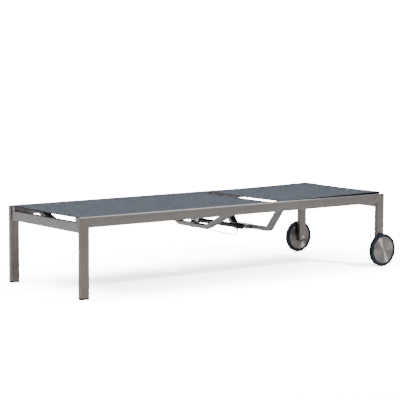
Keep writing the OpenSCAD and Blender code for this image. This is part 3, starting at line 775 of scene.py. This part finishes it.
def join_as(name, pieces):
    """Joins pieces into the first one, which gets the name."""
    chosen = {"active_object": pieces[0], "selected_editable_objects": pieces, "selected_objects": pieces}
    with bpy.context.temp_override(**chosen):
        bpy.ops.object.join()
    pieces[0].name = name
    return pieces[0]


axle_low, axle_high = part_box("axle_bolts")
head_r = (axle_high.x - axle_low.x) / 2
leg_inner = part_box("right_head_leg")[0].y
length = axle_high.y - leg_inner
axle_at = Vector(joints["right_wheel_spin"]["pos_m"])
profile = [(0, -0.0026), (0.0032, -0.0026), (0.0034, -0.0052)]
for a in (math.radians(angle) for angle in DOME_ANGLES):
    profile.append((head_r * math.sin(a), -DOME_HEIGHT * math.cos(a)))
profile += [(head_r, 0.0), (SHANK_RADIUS, 0.0)]
profile += [(SHANK_RADIUS, length - 0.0008), (SHANK_RADIUS - 0.0008, length), (0, length)]
shafts = []
for sign in (-1, 1):
    origin = Vector((axle_at.x, sign * leg_inner, axle_at.z))
    shafts.append(lathe("axle_shaft", profile, origin, (0, sign, 0), bolt_steel, 48))
axles = join_as("axle_bolts_turned", shafts)
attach(axles, "frame")
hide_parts("axle_bolts")
print("axle bolts", round(length, 4), "m under the head")

# %% [markdown]
# ## Rest buffers
#
# Two rubber cones on the head cross rail carry the lowered backrest. Real ones have a rounded foot and a
# small bulge, which a turned profile gives.

# %% Turn the buffers
BUFFER_RADIUS = 0.010
buffer_low, buffer_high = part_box("rest_buffers")
height = buffer_high.z - buffer_low.z
profile = [(0, 0), (0.0098, 0), (0.0099, 0.0012), (0.0088, 0.0028), (0.0084, height * 0.55)]
profile += [(0.0078, height - 0.0016), (0.0064, height - 0.0002), (0, height)]
buffers = []
for y in (buffer_low.y + BUFFER_RADIUS, buffer_high.y - BUFFER_RADIUS):
    foot = ((buffer_low.x + buffer_high.x) / 2, y, buffer_low.z)
    buffers.append(lathe("buffer", profile, foot, Z, buffer_rubber, 40))
buffer_pair = join_as("rest_buffers_turned", buffers)
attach(buffer_pair, "frame")
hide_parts("rest_buffers")
print("buffers", round(height, 4), "m tall")

# %% [markdown]
# ## The locking strut
#
# The strut is a painted steel tube with a collar at its eye, pinched in a groove at each end where the caps
# are crimped on. It is turned round the line between the strut's two pivots.

# %% Turn the strut's tube
pivot = Vector(joints["strut_pivot"]["pos_m"])
far_pivot = Vector(joints["rod_pivot"]["pos_m"])
strut_line = (far_pivot - pivot).normalized()
strut_length = (far_pivot - pivot).length
tube_start, head_start, head_stop = 0.025, 0.282, strut_length - 0.026
tube_r, bore_r, head_outer, collar_r = 0.0125, 0.0108, 0.016, 0.015
collar_end = tube_start + 0.010
pinched_r = tube_r - 0.0012

profile = [(bore_r, tube_start), (collar_r - 0.0012, tube_start), (collar_r, tube_start + 0.0012)]
profile += [(collar_r, collar_end - 0.0010), (collar_r - 0.0010, collar_end), (tube_r, collar_end)]
for s in (collar_end + 0.008, head_start - 0.016):
    profile += [(tube_r, s - 0.0022), (pinched_r, s - 0.0008), (pinched_r, s + 0.0008), (tube_r, s + 0.0022)]
profile += [(tube_r, head_start), (bore_r, head_start)]
tube = lathe("strut_tube_painted", profile, pivot, strut_line, black_paint, 64)
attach(tube, "strut_housing")
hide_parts("strut_tube")
print("strut", round(strut_length, 4), "m between its pins")

# %% [markdown]
# The release head sits over the tube's mouth. It is moulded in nylon, thicker than the tube, with ribs for
# grip. A boss under it takes the cable, so a second turned piece, square to the strut, is joined to it.

# %% Turn the release head and its cable boss
RIBS, RIB_PITCH, RIB_DEPTH = 6, 0.0045, 0.0010
BOSS_PLACE = 0.300
mouth_r = head_outer - 0.0022

profile = [(bore_r, head_start), (head_outer - 0.0016, head_start), (head_outer, head_start + 0.0016)]
for k in range(RIBS):
    s = head_start + 0.008 + k * RIB_PITCH
    profile += [(head_outer, s), (head_outer - RIB_DEPTH, s + 0.0006)]
    profile += [(head_outer - RIB_DEPTH, s + 0.0022), (head_outer, s + 0.0028)]
profile += [(head_outer, head_stop - 0.009), (mouth_r, head_stop - 0.006), (mouth_r, head_stop - 0.0012)]
profile += [(head_outer - 0.0034, head_stop), (bore_r, head_stop)]
shell = lathe("release_head_shell", profile, pivot, strut_line, nylon, 64)

down = Vector((strut_line.z, 0, -strut_line.x))
profile = [(0, 0.009), (0.0055, 0.009), (0.0055, 0.0185), (0.0046, 0.0195), (0.0046, 0.0215)]
profile += [(0.0055, 0.0225), (0.0052, 0.0240), (0, 0.0240)]
boss = lathe("head_boss", profile, pivot + strut_line * BOSS_PLACE, down, nylon, 32)
head = join_as("release_head_shell", [shell, boss])
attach(head, "strut_housing")
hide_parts("release_head")
print("release head", round(head_stop - head_start, 4), "m long")

# %% [markdown]
# ## The release cable
#
# The cable is a wire in a black plastic sheath. It runs from the lever down the member's arm, then leaves its
# last clip in a loose loop that dips below the strut and rises into the head's boss. When the strut swings up
# with the backrest, the loop's far end goes with it. On the lounger, the cable bends between the last clip,
# where it leaves the member, and the boss. Here it is laid only in its resting shape and belongs to no body.

# %% Lay the cable
FOOT_END = -1.0325
route_mm = [
    (981, 327.5, 316), (975, 327.5, 316), (969, 324, 318), (965, 316, 323), (964, 306, 328), (963, 290, 331),
    (963, 262, 325), (963, 220, 308), (963, 180, 289), (963, 150, 276), (963, 125, 267), (963, 100, 263),
    (963, 60, 260), (963, 32, 257), (964, 14, 254), (970, 4, 251), (983, 0, 248), (1003, 0, 243),
    (1030, 0, 236.5), (1060, 0, 229), (1090, 0, 221.5), (1120, 0, 214), (1150, 0, 207), (1176, 0, 201),
    (1198, 0, 197), (1213, 0, 196), (1224, 0, 199.5), (1230, 0, 206.5), (1231, 0, 216),
]
route = [Vector((FOOT_END + x / 1000, y / 1000, z / 1000)) for x, y, z in route_mm]
line = smooth_line(route, 5)
cable = sweep("release_cable_sheath", line, 0.0024, sheath_plastic)
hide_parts("release_cable")
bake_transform(cable)
print("cable", round(sum((b - a).length for a, b in zip(line, line[1:])), 3), "m long")

# %% [markdown]
# A crimped sleeve closes the sheath at each end, and steps down nearly to the sheath's own width.

# %% Add the cable's end sleeves
SLEEVE = [(0, 0), (0.0042, 0), (0.0042, 0.0050), (0.0036, 0.0060), (0.0036, 0.0120)]
SLEEVE += [(0.0028, 0.0150), (0, 0.0150)]


def sleeve(name, at, towards, body):
    axis = (Vector(towards) - Vector(at)).normalized()
    piece = lathe(name, SLEEVE, at, axis, nylon, 32)
    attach(piece, body)


sleeve("lever_end_sleeve", route[0], route[1], "frame")
sleeve("head_end_sleeve", route[-1] + Vector((0, 0, 0.0015)), route[-2], "strut_housing")
print("sleeves", SLEEVE[-1][1] * 1000, "mm long")

# %% [markdown]
# ## The lever's grip
#
# A moulded grip with shallow finger rings slides over the flat end of the lever, which droops a little.

# %% Turn the grip
lever_pivot = Vector(joints["release_lever_hinge"]["pos_m"])
droop = math.radians(6)
lever_line = Vector((math.cos(droop), 0, -math.sin(droop)))
grip_start, grip_end, grip_r = 0.045, 0.133, 0.009
hollow_r = grip_r - 0.0009
profile = [(0, grip_start), (0.0060, grip_start), (0.0078, grip_start + 0.0010)]
profile += [(grip_r, grip_start + 0.0040)]
for k in range(5):
    s = grip_start + 0.014 + 0.013 * k
    profile += [(grip_r, s), (hollow_r, s + 0.0022), (hollow_r, s + 0.0042), (grip_r, s + 0.0064)]
profile += [(grip_r, grip_end - 0.0050), (0.0078, grip_end - 0.0012), (0.0055, grip_end), (0, grip_end)]
grip = lathe("lever_grip_moulded", profile, lever_pivot, lever_line, nylon, 40)
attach(grip, "release_lever")
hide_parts("lever_grip")
print("grip", round(grip_end - grip_start, 3), "m long")

# %% [markdown]
# ## Floor and backdrop
#
# A studio shows steel on a white cove: a floor that curves up into a wall behind the lounger, so there is no
# horizon line. The lounger is dark, so a studio exposes for it and the cove burns out to white. A cove that
# really shone that much would bleach the steel that mirrors it. So the paint is an ordinary white for light
# that bounces, and much paler where it is seen directly. That is the same from wherever it is looked at.

# %% Build the cove
COVE_SIZE, WALL_AT, BEND, WALL_HEIGHT = 34.0, 9.0, 3.0, 12.0
WHITE, WHITE_OUT = (0.94, 0.94, 0.94), (8.0, 8.0, 8.0)
to_back = Vector((math.sin(math.radians(37.2)), math.cos(math.radians(37.2)), 0))
to_right = Vector((to_back.y, -to_back.x, 0))

outline = [(-COVE_SIZE / 2, 0.0), (WALL_AT - BEND, 0.0)]
for a in (math.radians(7.5 * i) for i in range(1, 13)):
    outline.append((WALL_AT - BEND + BEND * math.sin(a), BEND - BEND * math.cos(a)))
outline += [(WALL_AT, WALL_HEIGHT)]
bm = bmesh.new()
columns = []
for w in (-COVE_SIZE / 2, COVE_SIZE / 2):
    columns.append([bm.verts.new(to_back * d + to_right * w + Vector((0, 0, h))) for d, h in outline])
for k in range(len(outline) - 1):
    bm.faces.new([columns[0][k], columns[1][k], columns[1][k + 1], columns[0][k + 1]])

cove_paint, nodes, links, shader = finish_base("cove_paint", WHITE, 0.75)
seen_directly = nodes.new("ShaderNodeLightPath").outputs["Is Camera Ray"]
links.new(two_tone(nodes, links, seen_directly, WHITE, WHITE_OUT), shader.inputs["Base Color"])
cove = new_piece("cove", bm, cove_paint, 60)
print("cove wall", WALL_AT, "m behind the lounger")

# %% [markdown]
# ## Light
#
# The sky is bright overhead and dark near the horizon. Steel mirrors what stands in front of it, so the dark
# low sky gives the tubes their calm flanks, while their tops mirror the bright ceiling. Where the sky is seen
# directly it is plain white, like the cove.

# %% Set the sky
SKY_STRENGTH = 1.55
world = bpy.data.worlds.new("studio")
bpy.context.scene.world = world
world.use_nodes = True
nodes, links = world.node_tree.nodes, world.node_tree.links
coordinates = nodes.new("ShaderNodeTexCoord")
axes = nodes.new("ShaderNodeSeparateXYZ")
links.new(coordinates.outputs["Generated"], axes.inputs[0])
sky = nodes.new("ShaderNodeValToRGB")
for stop, place, colour in ((0, 0.05, (0.10, 0.10, 0.105, 1)), (1, 0.72, (1, 1, 1, 1))):
    sky.color_ramp.elements[stop].position = place
    sky.color_ramp.elements[stop].color = colour
links.new(axes.outputs["Z"], sky.inputs["Fac"])
seen_directly = nodes.new("ShaderNodeLightPath").outputs["Is Camera Ray"]
pale_sky = laid_over(nodes, links, seen_directly, sky.outputs["Color"], WHITE_OUT)
links.new(pale_sky, nodes["Background"].inputs["Color"])
nodes["Background"].inputs["Strength"].default_value = SKY_STRENGTH
print("sky strength", SKY_STRENGTH)

# %% [markdown]
# The key lamp stands high at the foot end, so shadows fall softly towards the head. A small lamp beyond the
# head end, on the left, makes the fan on the left wheel's disc: a fan needs one small bright source on the
# disc's own side. The third lamp lights the wall.

# %% Place the lamps
def lamp(name, place, aim, size, power):
    data = bpy.data.lights.new(name, "AREA")
    data.shape = "RECTANGLE"
    data.size, data.size_y = size
    data.energy = power
    piece = bpy.data.objects.new(name, data)
    bpy.context.scene.collection.objects.link(piece)
    piece.location = place
    piece.rotation_euler = (Vector(aim) - Vector(place)).to_track_quat("-Z", "Y").to_euler()
    print(name, power, "W")


lamp("key_lamp", (-3.2, 0.6, 4.2), (0, 0, 0.3), (3.0, 3.0), 260)
lamp("disc_lamp", (2.25, -2.9, 2.9), (0.94, -0.36, 0.09), (0.4, 0.4), 130)
wall_aim = to_back * WALL_AT + Vector((0, 0, 2.0))
lamp("wall_lamp", to_back * 3.0 + Vector((0, 0, 4.5)), wall_aim, (8.0, 2.0), 600)
